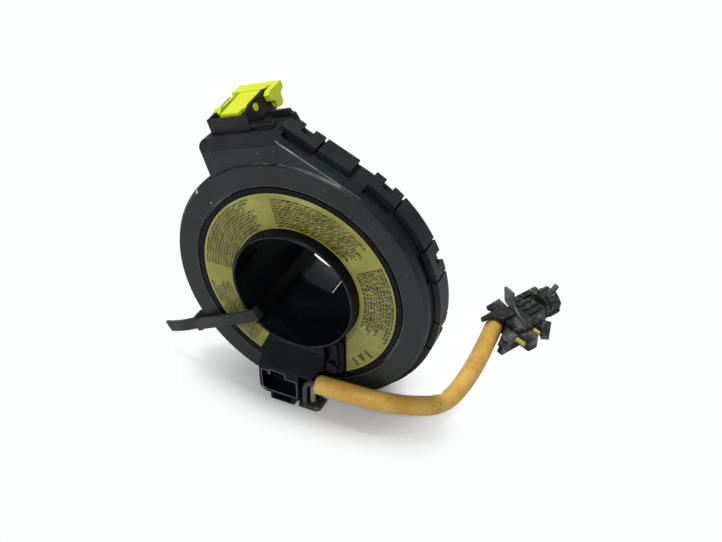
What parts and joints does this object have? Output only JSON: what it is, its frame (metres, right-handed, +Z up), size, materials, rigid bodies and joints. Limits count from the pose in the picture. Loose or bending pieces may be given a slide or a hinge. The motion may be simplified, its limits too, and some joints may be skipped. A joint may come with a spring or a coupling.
{
  "type": "steering clock spring",
  "caption": "Ring-shaped steering clock spring with a turning labelled face, a harness socket with a lock lever, a switch socket, a cable tie and a sleeved lead with a plug.",
  "frame": {"origin": "on the rotor's turning axis, in the plane where the back of the case meets the steering column", "axes": "-Y the way the labelled face looks, along the turning axis; +Z up, towards the harness socket; +X to the right as the face is seen, the side where the lead leaves"},
  "size_m": [0.1482, 0.1065, 0.1233],
  "materials": {
    "cover_plastic": "fine grained charcoal grey plastic",
    "case_plastic": "fine grained dark grey plastic",
    "rotor_plastic": "satin blue-black plastic",
    "socket_plastic": "satin brown-black plastic",
    "lever_plastic": "satin lemon yellow plastic",
    "label_film": "olive yellow film with a satin face",
    "slide_film": "smooth pale low friction film",
    "ribbon_film": "amber polyester film",
    "tinned_brass": "bright tinned brass",
    "tie_plastic": "satin black nylon",
    "sleeve_cloth": "varnished amber tubing, slightly glossy",
    "wire_grey": "grey wire insulation",
    "wire_white": "off-white wire insulation",
    "plug_plastic": "satin dark grey plastic",
    "wire_yellow": "yellow-green wire insulation"
  },
  "bodies": {
    "stator": {"stator_cover": "cover_plastic", "stator_case": "case_plastic", "front_slide_sheet": "slide_film", "rear_slide_sheet": "slide_film", "flat_cable": "ribbon_film", "outer_cable_joint": "socket_plastic", "harness_socket": "socket_plastic", "harness_terminals": "tinned_brass", "cable_tie": "tie_plastic"},
    "lever": {"lock_lever": "lever_plastic"},
    "rotor": {"rotor_face": "rotor_plastic", "rotor_hub": "rotor_plastic", "face_label": "label_film", "inner_cable_joint": "socket_plastic", "switch_socket": "rotor_plastic", "switch_terminals": "tinned_brass", "block_cover": "plug_plastic", "lead_sleeve": "sleeve_cloth", "lead_wire_grey": "wire_grey", "lead_wire_white": "wire_white", "plug_body": "plug_plastic", "plug_latch": "plug_plastic", "plug_cap": "plug_plastic", "plug_peg": "plug_plastic", "plug_fin": "plug_plastic", "plug_clip": "plug_plastic", "side_plug": "plug_plastic", "plug_foot": "plug_plastic", "plug_tab": "plug_plastic", "plug_wires": "wire_yellow"}
  },
  "joints": [
    {"name": "lever_pivot", "type": "hinge", "parent": "stator", "child": "lever", "pos_m": [-0.02169, -0.0044, 0.06445], "axis": [0.9478, 0, 0.319], "range_deg": [0, 60]},
    {"name": "rotor_spin", "type": "hinge", "parent": "stator", "child": "rotor", "pos_m": [0, 0, 0], "axis": [0, -1, 0], "range_deg": [-20, 110]}
  ]
}
